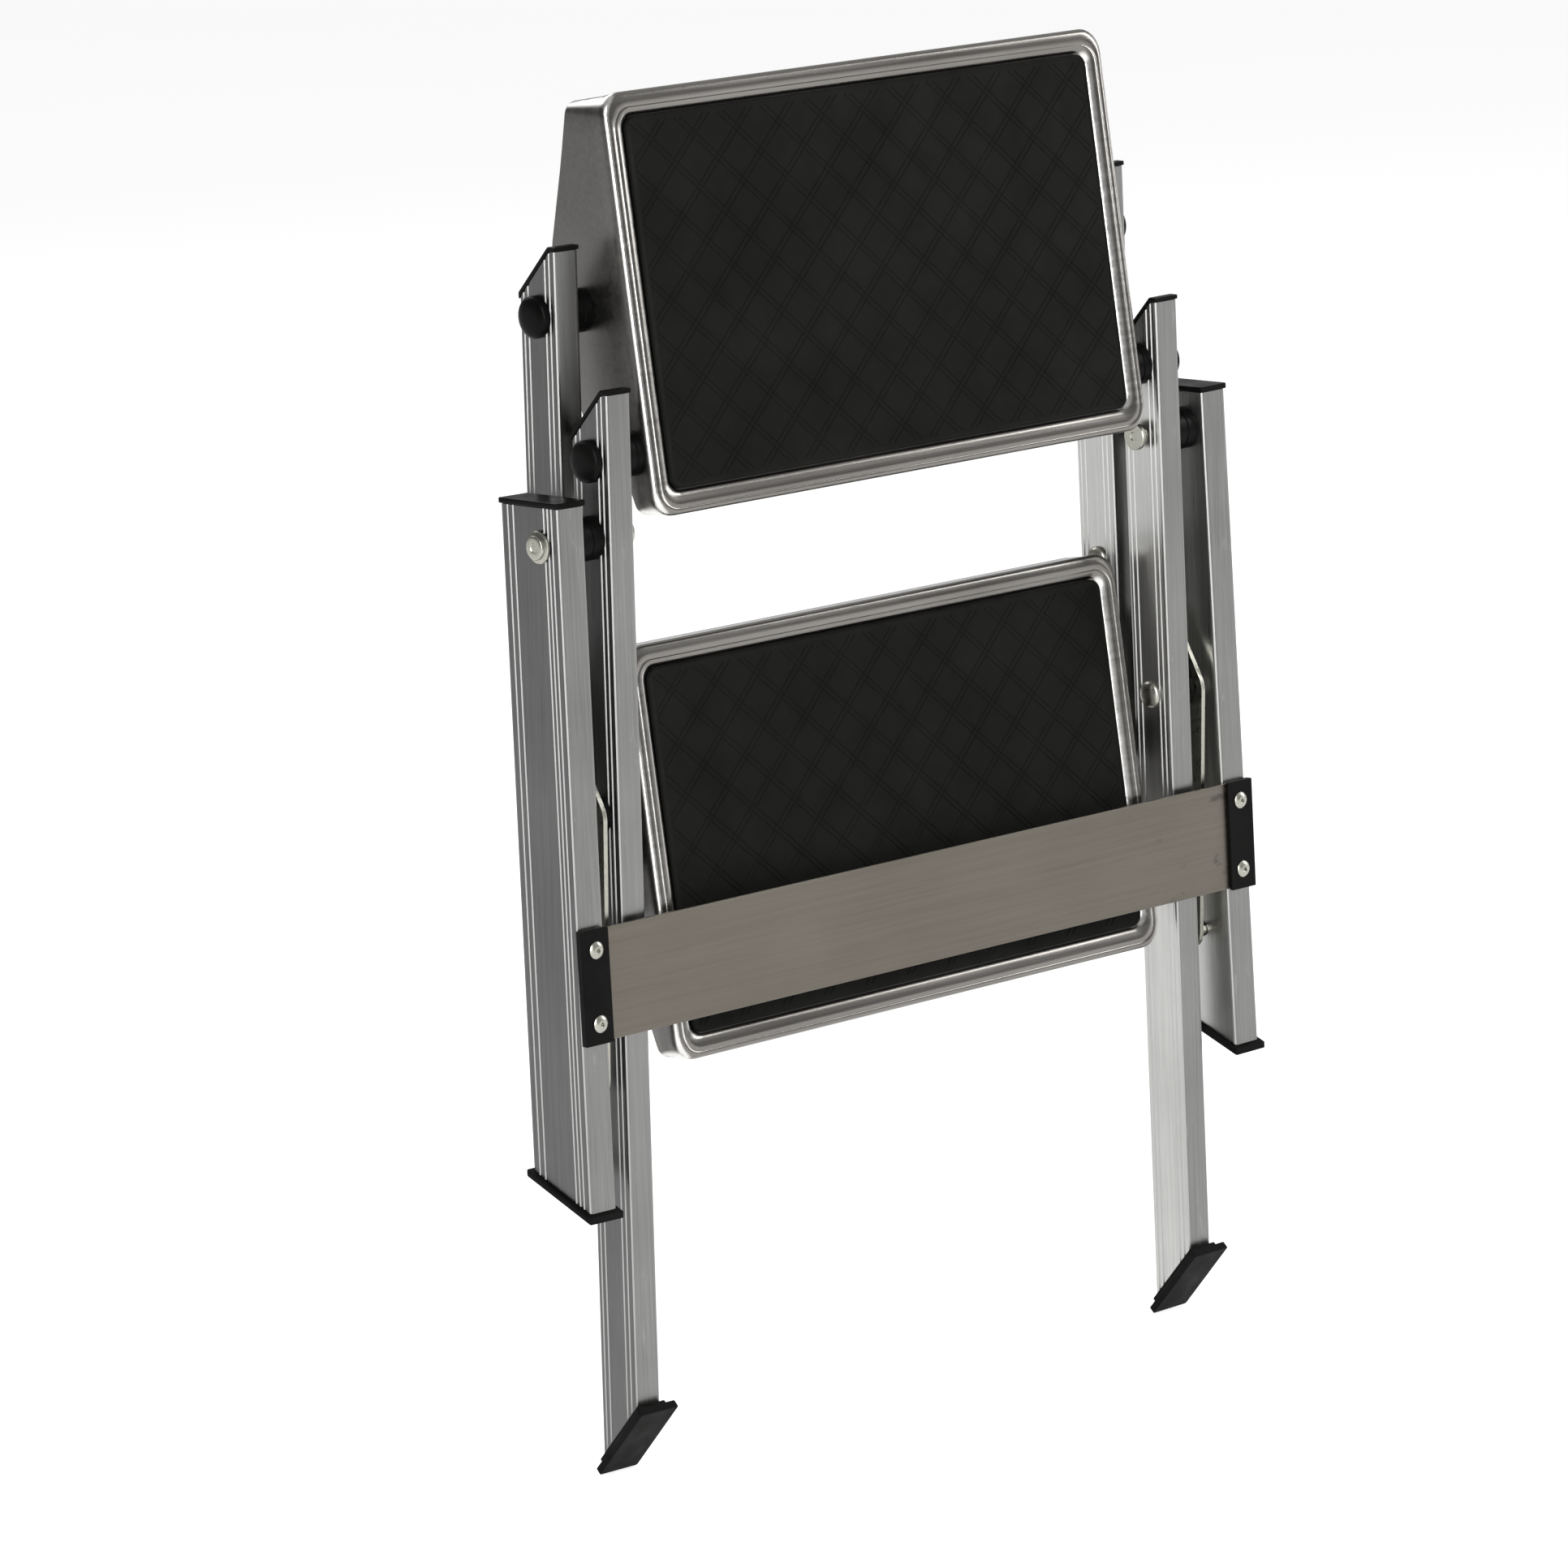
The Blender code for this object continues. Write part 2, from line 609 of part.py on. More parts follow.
def build_outer_pin(label, side):
    z = OUTER_PIVOT_Z
    seat = shell_x(outer_face, z, OUTER_W, 0.0098)
    disc = inner_face(z) - 0.0045
    profile = [(0.0, seat + 0.0050), (0.0068, seat + 0.0050), (0.0074, seat + 0.0044),
               (0.0074, seat + 0.0026), (0.0095, seat + 0.0022), (0.0098, seat + 0.0016),
               (0.0098, seat), (OUTER_PIN_R, seat), (OUTER_PIN_R, disc), (0.0088, disc),
               (0.0088, disc - 0.0030), (0.0, disc - 0.0030)]
    finish(turned("outer_pin_" + label, profile, side, LEG_Y, z), ZINC)
    lean = math.tan(SPLAY) * BUSH_R
    build_bush("outer_bush_" + label, side, LEG_Y, z, BUSH_R, OUTER_PIN_R,
               shell_x(inner_face, z, RAIL_W), outer_face(z) - lean - GAP)


def build_link_pin(name, bush, side, y, z):
    """Rivet with a domed head on the leg's inner face, holding the flat link outside."""
    inner = inner_face(z) - math.tan(SPLAY) * 0.0086 - GAP
    outer = LINK_X + LINK_T + GAP
    profile = [(0.0, outer + 0.0018), (0.0068, outer + 0.0018), (0.0072, outer + 0.0012),
               (0.0072, outer), (PIN_R, outer), (PIN_R, inner), (0.0086, inner),
               (0.0086, inner - 0.0022), (0.0062, inner - 0.0036), (0.0, inner - 0.0040)]
    finish(turned(name, profile, side, y, z), ZINC)
    build_bush(bush, side, y, z, LINK_BUSH_R, PIN_R,
               shell_x(inner_face, z, RAIL_W, LINK_BUSH_R), LINK_X - GAP)


def link_outline():
    """Side view of the bell crank: arm up to the rail pivot, arm down to the drive pin."""
    knee = Vector((LEG_Y, LINK_PIVOT_Z))
    top = Vector((RAIL_Y, LINK_PIVOT_Z + PIVOT_RISE))
    tail = Vector((LEG_Y, LINK_PIVOT_Z - LINK_ARM))
    lean = math.degrees(math.atan2(top.y - knee.y, top.x - knee.x))
    half = 0.0135
    tail_half = 0.0100
    crown = arc(top, half, lean - 90, lean + 90, 8)
    heel = arc(knee, 0.0170, 152, 186, 5)
    toe = arc(tail, tail_half, 180, 360, 8)
    web = [(knee.x + 0.0115, knee.y - 0.0200)]
    return crown + heel + toe + web


def build_link(label, side):
    """Flat link with the drive pin staked into its tail; the pin runs in the leg's slot."""
    x = side * (LINK_X + LINK_T / 2)
    plate = outline("plate", [link_outline()], LINK_T, side_frame(x))
    tail_z = LINK_PIVOT_Z - LINK_ARM
    holes = [pin_hole(PIN_R, side, LEG_Y, LINK_PIVOT_Z),
             pin_hole(PIN_R, side, RAIL_Y, LINK_PIVOT_Z + PIVOT_RISE)]
    plate = combine(plate, holes, "DIFFERENCE")
    tip = outer_face(tail_z) + OUTER_WALL + 0.0040
    seat = LINK_X + LINK_T / 2
    profile = [(0.0, tip), (DRIVE_R - 0.0006, tip), (DRIVE_R, tip - 0.0006), (DRIVE_R, seat),
               (0.0046, seat), (0.0046, LINK_X - 0.0016), (0.0, LINK_X - 0.0016)]
    pin = turned("pin", profile, side, LEG_Y, tail_z, 16)
    link = combine(plate, [pin], "UNION")
    link.name = "fold_link_" + label
    finish(link, ZINC)


# ---------------------------------------------------------------- treads
def tread_frame(which):
    """Frame of a tread: X across, Y towards the upper edge, Z out of the standing surface."""
    place = Matrix.Translation((0, FRONT_Y + TREAD_Y, TREAD_LOW[which]))
    return place @ Matrix.Rotation(math.pi / 2 - TREAD_TILT, 4, "X")


def tread_side(inset, face):
    """Side view of the pan as (height up the tread, outward) points, sheet inset inwards."""
    deep = [(v, -w + inset * 1.15) for v, w in SKIRT]
    low, high = deep[0][0] + inset, deep[-1][0] - inset
    middle = deep[1:-1]
    return [(inset, face), (low, deep[0][1]), *middle, (high, deep[-1][1]),
            (TREAD_LEN - inset, face)]


def side_block(name, points, half, frame):
    """Prism across a tread with a side outline of (y, z) points in the tread's frame."""
    turn = Matrix(((0, 0, 1, 0), (1, 0, 0, 0), (0, 1, 0, 0), (0, 0, 0, 1)))
    return outline(name, [points], 2 * half, frame @ turn)


def build_tread(which):
    frame = tread_frame(which)
    outer = side_block(which + "_tread", tread_side(0.0, 0.0), TREAD_HALF - 0.002, frame)
    inner_points = tread_side(SHEET, -SHEET - MAT_RECESS)
    inner_points = [(v, w - (0.02 if 0 < i < len(inner_points) - 1 else 0.0))
                    for i, (v, w) in enumerate(inner_points)]
    inner = side_block("inner", inner_points, TREAD_HALF - 0.002 - SHEET, frame)
    flat = frame @ Matrix.Translation((0, TREAD_LEN / 2, 0))
    rim = rounded(rectangle(-TREAD_HALF, -TREAD_LEN / 2, TREAD_HALF, TREAD_LEN / 2), 0.016)
    plate = outline("rim", [rim], 0.0024, flat @ Matrix.Translation((0, 0, -0.0012)))
    pocket_loop = rounded(rectangle(-TREAD_HALF + RIM, -TREAD_LEN / 2 + RIM, TREAD_HALF - RIM,
                                    TREAD_LEN / 2 - RIM), 0.008)
    pocket = outline("pocket", [pocket_loop], 2 * MAT_RECESS, flat)
    pan = combine(outer, [plate], "UNION")
    holes = []
    for side in SIDES.values():
        holes.append(pin_hole(PIN_R, side, LEG_Y, LEG_PIVOT_Z[which]))
        holes.append(pin_hole(PIN_R, side, RAIL_Y, LEG_PIVOT_Z[which] + PIVOT_RISE))
    pan = combine(pan, [inner, pocket, *holes], "DIFFERENCE")
    finish(pan, POLISHED)

    shrink = RIM + 0.0010
    mat_loop = rounded(rectangle(-TREAD_HALF + shrink, -TREAD_LEN / 2 + shrink,
                                 TREAD_HALF - shrink, TREAD_LEN / 2 - shrink), 0.007)
    level = -MAT_RECESS + GAP + MAT_T / 2
    mat = outline(which + "_mat", [mat_loop], MAT_T, flat @ Matrix.Translation((0, 0, level)))
    finish(mat, RUBBER)


def build_tread_pivots(which, label, side):
    z = LEG_PIVOT_Z[which]
    x_in = TREAD_HALF - 0.0020 + GAP
    for name, y, height in (("front", LEG_Y, z), ("rear", RAIL_Y, z + PIVOT_RISE)):
        build_tread_pin(f"{which}_{name}_pin_{label}", side, y, height)
        x_out = inner_face(height) - math.tan(SPLAY) * BUSH_R - GAP
        build_bush(f"{which}_{name}_bush_{label}", side, y, height, BUSH_R, PIN_R, x_in, x_out)


def main():
    for label, side in SIDES.items():
        build_inner_leg(label, side)
        build_rear_rail(label, side)
        build_outer_leg(label, side)
        build_outer_pin(label, side)
        build_link_pin("link_front_pin_" + label, "link_front_bush_" + label, side, LEG_Y,
                       LINK_PIVOT_Z)
        build_link_pin("link_rear_pin_" + label, "link_rear_bush_" + label, side, RAIL_Y,
                       LINK_PIVOT_Z + PIVOT_RISE)
        build_link(label, side)
        for which in LEG_PIVOT_Z:
            build_tread_pivots(which, label, side)
    build_crossbar()
    for which in LEG_PIVOT_Z:
        build_tread(which)


main()
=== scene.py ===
import math

import bpy
from mathutils import Matrix, Vector


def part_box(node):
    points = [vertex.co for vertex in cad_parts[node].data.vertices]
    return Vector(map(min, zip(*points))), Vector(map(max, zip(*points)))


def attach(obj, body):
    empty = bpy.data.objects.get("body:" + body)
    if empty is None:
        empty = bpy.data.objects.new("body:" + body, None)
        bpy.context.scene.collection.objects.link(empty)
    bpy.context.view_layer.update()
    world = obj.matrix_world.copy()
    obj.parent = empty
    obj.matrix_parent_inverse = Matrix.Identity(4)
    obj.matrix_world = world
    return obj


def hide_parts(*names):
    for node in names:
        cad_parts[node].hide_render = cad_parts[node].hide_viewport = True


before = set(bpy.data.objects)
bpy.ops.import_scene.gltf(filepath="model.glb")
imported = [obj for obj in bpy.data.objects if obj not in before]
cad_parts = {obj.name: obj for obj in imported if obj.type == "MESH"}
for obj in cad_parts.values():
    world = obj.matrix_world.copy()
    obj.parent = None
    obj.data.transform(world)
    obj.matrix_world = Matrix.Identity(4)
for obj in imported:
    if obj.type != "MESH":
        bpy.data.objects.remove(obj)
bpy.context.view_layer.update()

SIDES = {"left": -1, "right": 1}

# Sizes the looks share with the CAD, in metres.
LEAN = math.radians(1.43)
TILT = math.radians(8.0)
TREAD_HALF, TREAD_LEN = 0.2030, 0.2520
TREAD_FOOT = {"upper": (-0.04074, 0.5855), "lower": (-0.04074, 0.2541)}
MAT_INSET, MAT_SEAT = 0.0152, -0.0026
# Depth of the pan's skirt at heights up the tread.
SKIRT = [(0.0, 0.0195), (0.022, 0.0255), (0.062, 0.0595), (0.105, 0.0695), (0.139, 0.0715),
         (0.150, 0.0709), (0.165, 0.068), (0.215, 0.0490), (0.252, 0.0365)]
SKIRT_SOFTENING = (-0.004, -0.002, 0.0, 0.002, 0.004)

# Camera and studio.
CAMERA_PLACE = (-3.000, -3.3407, 1.336)
CAMERA_YAW, CAMERA_PITCH, CAMERA_ROLL = 0.719, -0.208, -0.037
CAMERA_LENS, CAMERA_SENSOR = 170.67, 36.0
WORLD_STRENGTH, WORLD_LOW, WORLD_HIGH = 0.85, 0.45, 1.0
WORLD_LEFT, WORLD_RIGHT = 0.30, 1.0
FLOOR_REACH, FLOOR_DROP, FLOOR_GLOW = 40.0, 0.0002, 0.60


# ---------------------------------------------------------------- node materials
class Nodes:
    """Small helper for writing a material's node tree."""

    def __init__(self, name, colour, roughness, metallic):
        self.mat = bpy.data.materials.new(name)
        self.mat.use_nodes = True
        self.tree = self.mat.node_tree
        self.shader = self.tree.nodes["Principled BSDF"]
        self.shader.inputs["Base Color"].default_value = (*colour, 1.0)
        self.shader.inputs["Roughness"].default_value = roughness
        self.shader.inputs["Metallic"].default_value = metallic
        self.coords = self.tree.nodes.new("ShaderNodeTexCoord")
        self.place = self.coords.outputs["Object"]

    def link(self, source, target):
        self.tree.links.new(source, target)

    def stretched(self, scale):
        node = self.tree.nodes.new("ShaderNodeMapping")
        node.inputs["Scale"].default_value = scale
        self.link(self.place, node.inputs["Vector"])
        return node.outputs["Vector"]

    def noise(self, scale, stretch=(1, 1, 1), detail=4.0, rough=0.55):
        node = self.tree.nodes.new("ShaderNodeTexNoise")
        node.inputs["Scale"].default_value = scale
        node.inputs["Detail"].default_value = detail
        node.inputs["Roughness"].default_value = rough
        self.link(self.stretched(stretch), node.inputs["Vector"])
        return node.outputs["Fac"]

    def spread(self, value, low, high, to_low, to_high):
        node = self.tree.nodes.new("ShaderNodeMapRange")
        for key, number in zip(("From Min", "From Max", "To Min", "To Max"),
                               (low, high, to_low, to_high)):
            node.inputs[key].default_value = number
        self.link(value, node.inputs["Value"])
        return node.outputs["Result"]

    def maths(self, kind, a, b):
        node = self.tree.nodes.new("ShaderNodeMath")
        node.operation = kind
        for socket, value in zip(node.inputs, (a, b)):
            if isinstance(value, (int, float)):
                socket.default_value = value
            else:
                self.link(value, socket)
        return node.outputs["Value"]

    def across(self, output="Object"):
        """Sideways part of the place, or with "Normal" of the way the surface faces."""
        node = self.tree.nodes.new("ShaderNodeSeparateXYZ")
        self.link(self.coords.outputs[output], node.inputs["Vector"])
        return node.outputs["X"]

    def blend(self, factor, a, b):
        node = self.tree.nodes.new("ShaderNodeMix")
        node.data_type = "RGBA"
        ends = {socket.identifier: socket for socket in node.inputs}
        self.link(factor, ends["Factor_Float"])
        for socket, value in ((ends["A_Color"], a), (ends["B_Color"], b)):
            if isinstance(value, tuple):
                socket.default_value = (*value, 1.0)
            else:
                self.link(value, socket)
        return next(out for out in node.outputs if out.identifier == "Result_Color")

    def bump(self, height, strength, distance=0.0002):
        node = self.tree.nodes.new("ShaderNodeBump")
        node.inputs["Strength"].default_value = strength
        node.inputs["Distance"].default_value = distance
        self.link(height, node.inputs["Height"])
        self.link(node.outputs["Normal"], self.shader.inputs["Normal"])

    def colour(self, value):
        self.link(value, self.shader.inputs["Base Color"])

    def rough(self, value):
        self.link(value, self.shader.inputs["Roughness"])


def metal(name, base, light, rough_low, rough_high, grain, grain_bump, scuff=0.0, faces=(),
          painted_edge_highlight=()):
    """Brushed metal. faces holds (dark tone, light tone, added roughness) for the outward side
    faces, which get painted shade, and then for the inward ones, which get painted light on the
    rails, and the last argument is the tone of the painted highlight on rounded corners and
    beads."""
    look = Nodes(name, base, rough_high, 1.0)
    streak = look.noise(1.0, grain, 5.0, 0.6)
    cloud = look.noise(9.0, (1, 1, 1), 3.0)
    tone = look.spread(look.maths("ADD", look.maths("MULTIPLY", streak, 0.6),
                                  look.maths("MULTIPLY", cloud, 0.4)), 0.35, 0.65, 0.0, 1.0)
    colour = look.blend(tone, base, light)
    roughness = look.spread(streak, 0.3, 0.7, rough_low, rough_high)
    if scuff:
        marks = look.noise(150.0, (1, 1, 0.25), 6.0, 0.7)
        mask = look.spread(marks, 0.60, 0.70, 0.0, scuff)
        colour = look.blend(mask, colour, tuple(min(1.0, c * 1.3) for c in light))
        roughness = look.maths("ADD", roughness, look.maths("MULTIPLY", mask, 0.15))
    if faces:
        # Painted shade and light: the faces turned away from the middle are painted darker and
        # duller than those turned towards it, which on the rails are painted lighter.
        away = look.maths("MULTIPLY", look.across("Normal"),
                          look.maths("SIGN", look.across(), 0.0))
        for way, (low, high, dull) in zip((1, -1), faces):
            mask = look.spread(look.maths("MULTIPLY", away, way), 0.55, 0.80, 0.0, 1.0)
            colour = look.blend(mask, colour, look.blend(tone, low, high))
            roughness = look.maths("ADD", roughness, look.maths("MULTIPLY", mask, dull))
    if painted_edge_highlight:
        # Painted highlight: rounded corners and beads are painted brighter than the flats beside
        # them.
        turn = look.maths("ABSOLUTE", look.across("Normal"), 0.0)
        mask = look.maths("MULTIPLY", look.spread(turn, 0.22, 0.40, 0.0, 1.0),
                          look.spread(turn, 0.72, 0.88, 1.0, 0.0))
        colour = look.blend(look.maths("MULTIPLY", mask, 0.9), colour, painted_edge_highlight)
    look.colour(colour)
    look.rough(roughness)
    look.bump(streak, grain_bump)
    return look


def moulded(name, base, light, rough_low, rough_high, pore, pore_bump, gloss):
    """Black plastic or rubber with a slightly cloudy tone and fine pores."""
    look = Nodes(name, base, rough_high, 0.0)
    look.shader.inputs["Specular IOR Level"].default_value = gloss
    cloud = look.noise(22.0, (1, 1, 1), 4.0)
    look.colour(look.blend(look.spread(cloud, 0.35, 0.7, 0.0, 1.0), base, light))
    look.rough(look.spread(look.noise(60.0), 0.3, 0.7, rough_low, rough_high))
    look.bump(look.noise(pore, (1, 1, 1), 2.0), pore_bump, 0.0001)
    return look


def make_materials():
    looks = {}
    # Rail: painted shade on the outward side faces, painted light on the inward ones, painted
    # highlight on rounded corners.
    looks["rail"] = metal("rail_aluminium", (0.168, 0.168, 0.164), (0.240, 0.240, 0.234),
                          0.27, 0.38, (620, 620, 7), 0.06, 0.45,
                          [((0.098, 0.099, 0.099), (0.150, 0.151, 0.149), 0.04),
                           ((0.380, 0.380, 0.370), (0.520, 0.520, 0.508), 0.0)],
                          (0.33, 0.33, 0.324))
    # Tread: painted shade on the outward skirts and side faces, painted highlight on the beads.
    looks["tread"] = metal("tread_aluminium", (0.158, 0.150, 0.140), (0.212, 0.203, 0.191),
                           0.16, 0.27, (6, 300, 300), 0.015, 0.0,
                           [((0.105, 0.102, 0.097), (0.155, 0.151, 0.144), 0.16),
                            ((0.158, 0.150, 0.140), (0.212, 0.203, 0.191), 0.0)],
                           (0.74, 0.73, 0.71))
    looks["zinc"] = metal("zinc_steel", (0.310, 0.305, 0.265), (0.430, 0.425, 0.375),
                          0.24, 0.38, (300, 300, 300), 0.04)

    bar = metal("bar_aluminium", (0.125, 0.112, 0.094), (0.160, 0.145, 0.124), 0.34, 0.46,
                (7, 420, 420), 0.03)
    # A few dark rubbed smudges towards the right-hand end of the bar.
    blot = bar.noise(70.0, (0.6, 1, 1.2), 5.0, 0.65)
    reach = bar.spread(bar.across(), 0.12, 0.24, 0.0, 1.0)
    smudge = bar.maths("MULTIPLY", bar.spread(blot, 0.60, 0.68, 0.0, 0.75), reach)
    old = bar.shader.inputs["Base Color"].links[0].from_socket
    bar.colour(bar.blend(smudge, old, (0.07, 0.066, 0.06)))
    looks["bar"] = bar

    looks["black"] = moulded("black_plastic", (0.0022, 0.0022, 0.0021), (0.0045, 0.0045, 0.0043),
                             0.26, 0.40, 1400.0, 0.05, 0.05)
    looks["rubber"] = moulded("foot_rubber", (0.0030, 0.0030, 0.0029), (0.0068, 0.0068, 0.0065),
                              0.50, 0.68, 1100.0, 0.15, 0.05)
    looks["mat"] = moulded("mat_rubber", (0.0030, 0.0033, 0.0026), (0.0054, 0.0057, 0.0046),
                           0.50, 0.66, 900.0, 0.20, 0.06)
    return {key: look.mat for key, look in looks.items()}


MATS = make_materials()


# ---------------------------------------------------------------- mesh building
def new_piece(name, verts, faces, look, body, stands_for=(), smooth=38):
    mesh = bpy.data.meshes.new(name)
    mesh.from_pydata([tuple(v) for v in verts], [], faces)
    mesh.validate()
    mesh.update()
    mesh.shade_smooth()
    mesh.set_sharp_from_angle(angle=math.radians(smooth))
    mesh.materials.append(MATS[look])
    obj = bpy.data.objects.new(name, mesh)
    bpy.context.scene.collection.objects.link(obj)
    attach(obj, body)
    if stands_for:
        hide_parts(*stands_for)
    return obj


def lathe(profile, matrix, steps=48):
    """Turn (radius, height) points, outermost height first, about the local Z axis."""
    verts, rings, faces = [], [], []
    for radius, height in profile:
        if radius < 1e-7:
            rings.append([len(verts)])
            verts.append(matrix @ Vector((0, 0, height)))
            continue
        start = len(verts)
        rings.append(list(range(start, start + steps)))
        for i in range(steps):
            turn = 2 * math.pi * i / steps
            verts.append(matrix @ Vector((radius * math.cos(turn), radius * math.sin(turn),
                                          height)))
    for a, b in zip(rings, rings[1:]):
        for i in range(steps):
            j = (i + 1) % steps
            if len(a) == 1:
                faces.append((a[0], b[i], b[j]))
            elif len(b) == 1:
                faces.append((a[i], b[0], a[j]))
            else:
                faces.append((a[i], b[i], b[j], a[j]))
    return verts, faces


def outward(side, y, z):
    """Frame at y, z whose local Z points away from the middle of the step."""
    return Matrix.Translation((0, y, z)) @ Matrix.Rotation(side * math.pi / 2, 4, "Y")


def ring(hx, v0, v1, radius, corner=6, along_v=22, along_x=10):
    """Points round a rounded rectangle, counter-clockwise from the lower right corner."""
    centre, half = (v0 + v1) / 2, (v1 - v0) / 2
    radius = max(min(radius, hx * 0.95, half * 0.95), 1e-5)
    points = []
    corners = ((hx - radius, -half + radius, -90), (hx - radius, half - radius, 0),
               (-hx + radius, half - radius, 90), (-hx + radius, -half + radius, 180))
    for k, (cx, cv, start) in enumerate(corners):
        for i in range(corner + 1):
            turn = math.radians(start + 90 * i / corner)
            points.append((cx + radius * math.cos(turn),
                           centre + cv + radius * math.sin(turn)))
        nx, nv, begin = corners[(k + 1) % 4]
        turn = math.radians(begin)
        first = Vector(points[-1])
        last = Vector((nx + radius * math.cos(turn), centre + nv + radius * math.sin(turn)))
        count = along_v if k % 2 == 0 else along_x
        points += [tuple(first.lerp(last, i / count)) for i in range(1, count)]
    return points


def stack(rings, frame_matrix):
    """Loft rings of (hx, v0, v1, radius, height), from the outermost face down, and cap it."""
    verts, faces, size = [], [], 0
    for spec in rings:
        points = ring(*spec[:4])
        size = len(points)
        for x, v in points:
            height = spec[4]
            if callable(height):
                height = height(v)
            verts.append(frame_matrix @ Vector((x, v, height)))
    for k in range(len(rings) - 1):
        a, b = k * size, (k + 1) * size
        for i in range(size):
            j = (i + 1) % size
            faces.append((a + i, b + i, b + j, a + j))
    faces.append(tuple(range(size)))
    last = (len(rings) - 1) * size
    faces.append(tuple(range(last + size - 1, last - 1, -1)))
    return verts, faces


# ---------------------------------------------------------------- treads
def tread_frame(which):
    y, z = TREAD_FOOT[which]
    return Matrix.Translation((0, y, z)) @ Matrix.Rotation(math.pi / 2 - TILT, 4, "X")


def skirt_depth(v):
    """Depth of the skirt at a height up the tread, its corners softened."""
    total = 0.0
    for shift in SKIRT_SOFTENING:
        place = min(max(v + shift, 0.0), TREAD_LEN)
        for (v0, d0), (v1, d1) in zip(SKIRT, SKIRT[1:]):
            if v0 <= place <= v1:
                total += d0 + (d1 - d0) * (place - v0) / (v1 - v0)
                break
    return total / len(SKIRT_SOFTENING)


def build_pan(which):
    h, n = TREAD_HALF, TREAD_LEN
    hem = 0.0010
    # Half width, lower and upper edge, corner radius and height: from the mat's seat outwards
    # over the double bead, down the skirt, round its hem and back up inside.
    rings = [
        (h - 0.0150, 0.0150, n - 0.0150, 0.0075, -0.0030),
        (h - 0.0144, 0.0144, n - 0.0144, 0.0080, -0.0029),
        (h - 0.0138, 0.0138, n - 0.0138, 0.0085, -0.0024),
        (h - 0.0126, 0.0126, n - 0.0126, 0.0092, -0.0014),
        (h - 0.0112, 0.0110, n - 0.0114, 0.0100, -0.0007),
        (h - 0.0090, 0.0076, n - 0.0106, 0.0110, -0.0002),
        (h - 0.0068, 0.0048, n - 0.0100, 0.0122, 0.0),
        (h - 0.0063, 0.0042, n - 0.0095, 0.0124, -0.0004),
        (h - 0.0058, 0.0037, n - 0.0090, 0.0127, 0.0),
        (h - 0.0040, 0.0028, n - 0.0050, 0.0136, 0.0),
        (h - 0.0026, 0.0020, n - 0.0028, 0.0142, -0.0003),
        (h - 0.0014, 0.0012, n - 0.0014, 0.0148, -0.0010),
        (h - 0.0006, 0.0005, n - 0.0006, 0.0150, -0.0020),
        (h - 0.0001, 0.0001, n - 0.0001, 0.0150, -0.0034),
        (h - 0.0001, 0.0002, n - 0.0002, 0.0146, -0.0052),
        (h - 0.0006, 0.0008, n - 0.0008, 0.0136, -0.0085),
        (h - 0.0013, 0.0014, n - 0.0014, 0.0116, -0.0150),
        (h - 0.0021, 0.0020, n - 0.0020, 0.0070, lambda v: -skirt_depth(v) + hem),
        (h - 0.0024, 0.0023, n - 0.0023, 0.0066, lambda v: -skirt_depth(v) + 0.0002),
        (h - 0.0034, 0.0033, n - 0.0033, 0.0058, lambda v: -skirt_depth(v) + 0.0002),
        (h - 0.0038, 0.0037, n - 0.0037, 0.0054, lambda v: -skirt_depth(v) + hem),
        (h - 0.0030, 0.0031, n - 0.0031, 0.0098, -0.0150),
        (h - 0.0024, 0.0026, n - 0.0026, 0.0120, -0.0080),
        (h - 0.0050, 0.0045, n - 0.0045, 0.0115, -0.0050),
    ]
    verts, faces = stack(rings, tread_frame(which))
    new_piece(which + "_tread_pan", verts, faces, "tread", which + "_tread_unit",
              [which + "_tread"], 50)


def clipped(point, way, hx, v0, v1, shortest=0.006):
    """Ends of the stretch of a line that lies inside a rectangle, or None."""
    low, high = -9.0, 9.0
    for place, step, first, last in ((point[0], way[0], -hx, hx), (point[1], way[1], v0, v1)):
        a, b = (first - place) / step, (last - place) / step
        low, high = max(low, min(a, b)), min(high, max(a, b))
    if high - low < shortest:
        return None
    return [(point[0] + way[0] * t, point[1] + way[1] * t) for t in (low, high)]


def mat_ribs(half_x, v0, v1, base, top):
    """Double raised lines that cross as diamonds, in the tread's frame."""
    pitch, apart, foot, crest, border = 0.0340, 0.0034, 0.00065, 0.00028, 0.0040
    verts, faces = [], []
    centre = (v0 + v1) / 2
    for slope in (1, -1):
        way = Vector((1, 0.94 * slope)).normalized()
        across = Vector((-way.y, way.x))
        count = int((half_x * 2 + (v1 - v0)) / pitch / 2) + 2
        for k in range(-count, count + 1):
            for pair in (-0.5, 0.5):
                point = Vector((k * pitch, centre)) + across * (pair * apart)
                ends = clipped(point, way, half_x - border, v0 + border, v1 - border)
                if not ends:
                    continue
                first, last = Vector(ends[0]), Vector(ends[1])
                start = len(verts)
                for place, inward in ((first, way), (last, -way)):
                    for offset, height, pull in ((-foot, base, 0), (foot, base, 0),
                                                 (crest, top, 0.0006), (-crest, top, 0.0006)):
                        spot = place + across * offset + inward * pull
                        verts.append(Vector((spot.x, spot.y, height)))
                s = start
                faces += [(s, s + 3, s + 2, s + 1), (s + 4, s + 5, s + 6, s + 7),
                          (s + 2, s + 3, s + 7, s + 6), (s + 1, s + 2, s + 6, s + 5),
                          (s + 3, s, s + 4, s + 7), (s, s + 1, s + 5, s + 4)]
    return verts, faces


